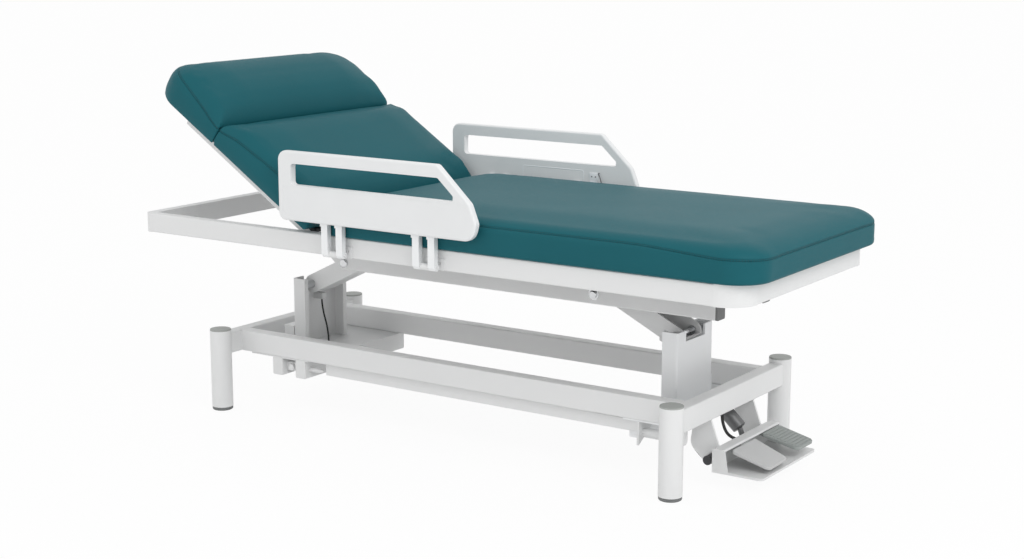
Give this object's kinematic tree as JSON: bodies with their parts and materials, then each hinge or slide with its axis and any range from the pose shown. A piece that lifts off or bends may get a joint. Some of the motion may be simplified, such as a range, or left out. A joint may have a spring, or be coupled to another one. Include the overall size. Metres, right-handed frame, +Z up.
{
  "type": "examination table",
  "caption": "Height-adjustable examination table with a teal padded top, tilting backrest, folding side guards and foot pedals",
  "frame": {"origin": "On the floor, under the middle of the table's overall length and width", "axes": "+X to the foot end with the pedals, +Y to the far side of the picture, +Z up; the head end with the backrest is at -X"},
  "size_m": [1.935, 0.808, 0.9682],
  "materials": {
    "white_powder_coat": "satin powder coat",
    "teal_vinyl": "soft satin leather-look vinyl",
    "grey_plastic": "matt",
    "dark_plastic": "matt",
    "white_plastic": "soft gloss",
    "pedal_plastic": "fine texture",
    "black_rubber": "matt",
    "chrome_steel": "polished plating",
    "plated_steel": "zinc plated",
    "dark_steel": "satin black",
    "board": "sealed plywood"
  },
  "bodies": {
    "base": {"legs": "white_powder_coat", "leg_caps": "grey_plastic", "leg_glides": "black_rubber", "base_end_rail_head": "white_powder_coat", "base_end_rail_foot": "white_powder_coat", "base_side_rail_front": "white_powder_coat", "base_side_rail_back": "white_powder_coat", "head_crossmember": "white_powder_coat", "foot_crossmember": "white_powder_coat", "head_column": "white_powder_coat", "foot_column": "white_powder_coat", "column_pins": "chrome_steel", "ram_cylinder": "dark_steel", "front_tie_bar": "white_powder_coat", "tie_bar_end": "white_powder_coat", "locating_pin": "white_powder_coat", "pedal_hangers": "white_powder_coat", "foot_bar": "dark_steel", "pedal_tray": "grey_plastic", "pedal_pin": "plated_steel", "pump_cylinder": "dark_steel", "pump_hose": "black_rubber", "limit_valve": "dark_plastic", "head_hose": "black_rubber"},
    "head_arm": {"head_arm": "white_powder_coat", "head_arm_bushes": "plated_steel"},
    "foot_arm": {"foot_arm": "white_powder_coat", "foot_arm_bushes": "plated_steel", "track_shaft": "chrome_steel", "track_bushes": "dark_plastic"},
    "ram_rod": {"ram_rod": "chrome_steel"},
    "top": {"top_rail_front": "white_powder_coat", "top_rail_back": "white_powder_coat", "top_end_head": "white_powder_coat", "top_end_foot": "white_powder_coat", "cross_members": "white_powder_coat", "sub_rail_front": "white_powder_coat", "sub_rail_back": "white_powder_coat", "sub_rail_plugs": "dark_plastic", "top_frame_pin": "chrome_steel", "track_bolts": "chrome_steel", "seat_board": "board", "seat_cushion": "teal_vinyl", "backrest_hinges": "white_powder_coat", "gas_spring_anchor": "white_powder_coat", "guard_hinge_plates": "white_powder_coat"},
    "backrest": {"backrest_frame": "white_powder_coat", "backrest_board": "board", "backrest_cushion": "teal_vinyl", "head_pillow": "teal_vinyl", "backrest_lever": "white_powder_coat"},
    "gas_spring_cylinder": {"gas_spring_cylinder": "dark_steel"},
    "gas_spring_rod": {"gas_spring_rod": "chrome_steel"},
    "guard_front": {"guard_front_panel": "white_plastic", "guard_front_posts": "white_powder_coat"},
    "guard_back": {"guard_back_panel": "white_plastic", "guard_back_posts": "white_powder_coat"},
    "raise_pedal": {"raise_pedal": "pedal_plastic"},
    "lower_pedal": {"lower_pedal": "pedal_plastic"}
  },
  "joints": [
    {"name": "lift", "type": "hinge", "parent": "base", "child": "head_arm", "pos_m": [-0.612, 0, 0.34], "axis": [0, -1, 0], "range_deg": [-30.5, 34]},
    {"name": "top_level", "type": "hinge", "parent": "head_arm", "child": "top", "pos_m": [-0.40977, 0, 0.43863], "axis": [0, -1, 0], "range_deg": [-34, 30.5]},
    {"name": "foot_arm_swing", "type": "hinge", "parent": "base", "child": "foot_arm", "pos_m": [0.592, 0, 0.34], "axis": [0, 1, 0], "range_deg": [-30.5, 34]},
    {"name": "ram_stroke", "type": "slide", "parent": "base", "child": "ram_rod", "axis": [0, 0, 1], "range_m": [-0.0224, 0.025]},
    {"name": "backrest_tilt", "type": "hinge", "parent": "top", "child": "backrest", "pos_m": [-0.362, 0, 0.5355], "axis": [0, 1, 0], "range_deg": [-33, 15]},
    {"name": "gas_spring_swing", "type": "hinge", "parent": "top", "child": "gas_spring_cylinder", "pos_m": [-0.27517, 0, 0.4637], "axis": [0, 1, 0], "range_deg": [-8.5, 3.9]},
    {"name": "gas_spring_stroke", "type": "slide", "parent": "gas_spring_cylinder", "child": "gas_spring_rod", "axis": [-0.9072, 0, 0.4208], "range_m": [-0.0188, 0.0086]},
    {"name": "front_guard_fold", "type": "hinge", "parent": "top", "child": "guard_front", "pos_m": [0, -0.379, 0.515], "axis": [1, 0, 0], "range_deg": [0, 178]},
    {"name": "back_guard_fold", "type": "hinge", "parent": "top", "child": "guard_back", "pos_m": [0, 0.379, 0.515], "axis": [-1, 0, 0], "range_deg": [0, 178]},
    {"name": "raise_pedal_press", "type": "hinge", "parent": "base", "child": "raise_pedal", "pos_m": [0.7773, 0.088, 0.087], "axis": [0, 1, 0], "range_deg": [0, 6], "stiffness_Nm_per_rad": 3, "springref_deg": -17.19},
    {"name": "lower_pedal_press", "type": "hinge", "parent": "base", "child": "lower_pedal", "pos_m": [0.7773, -0.066, 0.087], "axis": [0, 1, 0], "range_deg": [0, 4.5], "stiffness_Nm_per_rad": 3, "springref_deg": -17.19}
  ],
  "couplings": [
    {"joint": "top_level", "follows": "lift", "ratio": -1},
    {"joint": "foot_arm_swing", "follows": "lift", "ratio": 1},
    {"joint": "ram_stroke", "follows": "lift", "m_per_rad": 0.042},
    {"joint": "gas_spring_swing", "follows": "backrest_tilt", "ratio": 0.25744},
    {"joint": "gas_spring_stroke", "follows": "backrest_tilt", "m_per_rad": 0.032598}
  ]
}
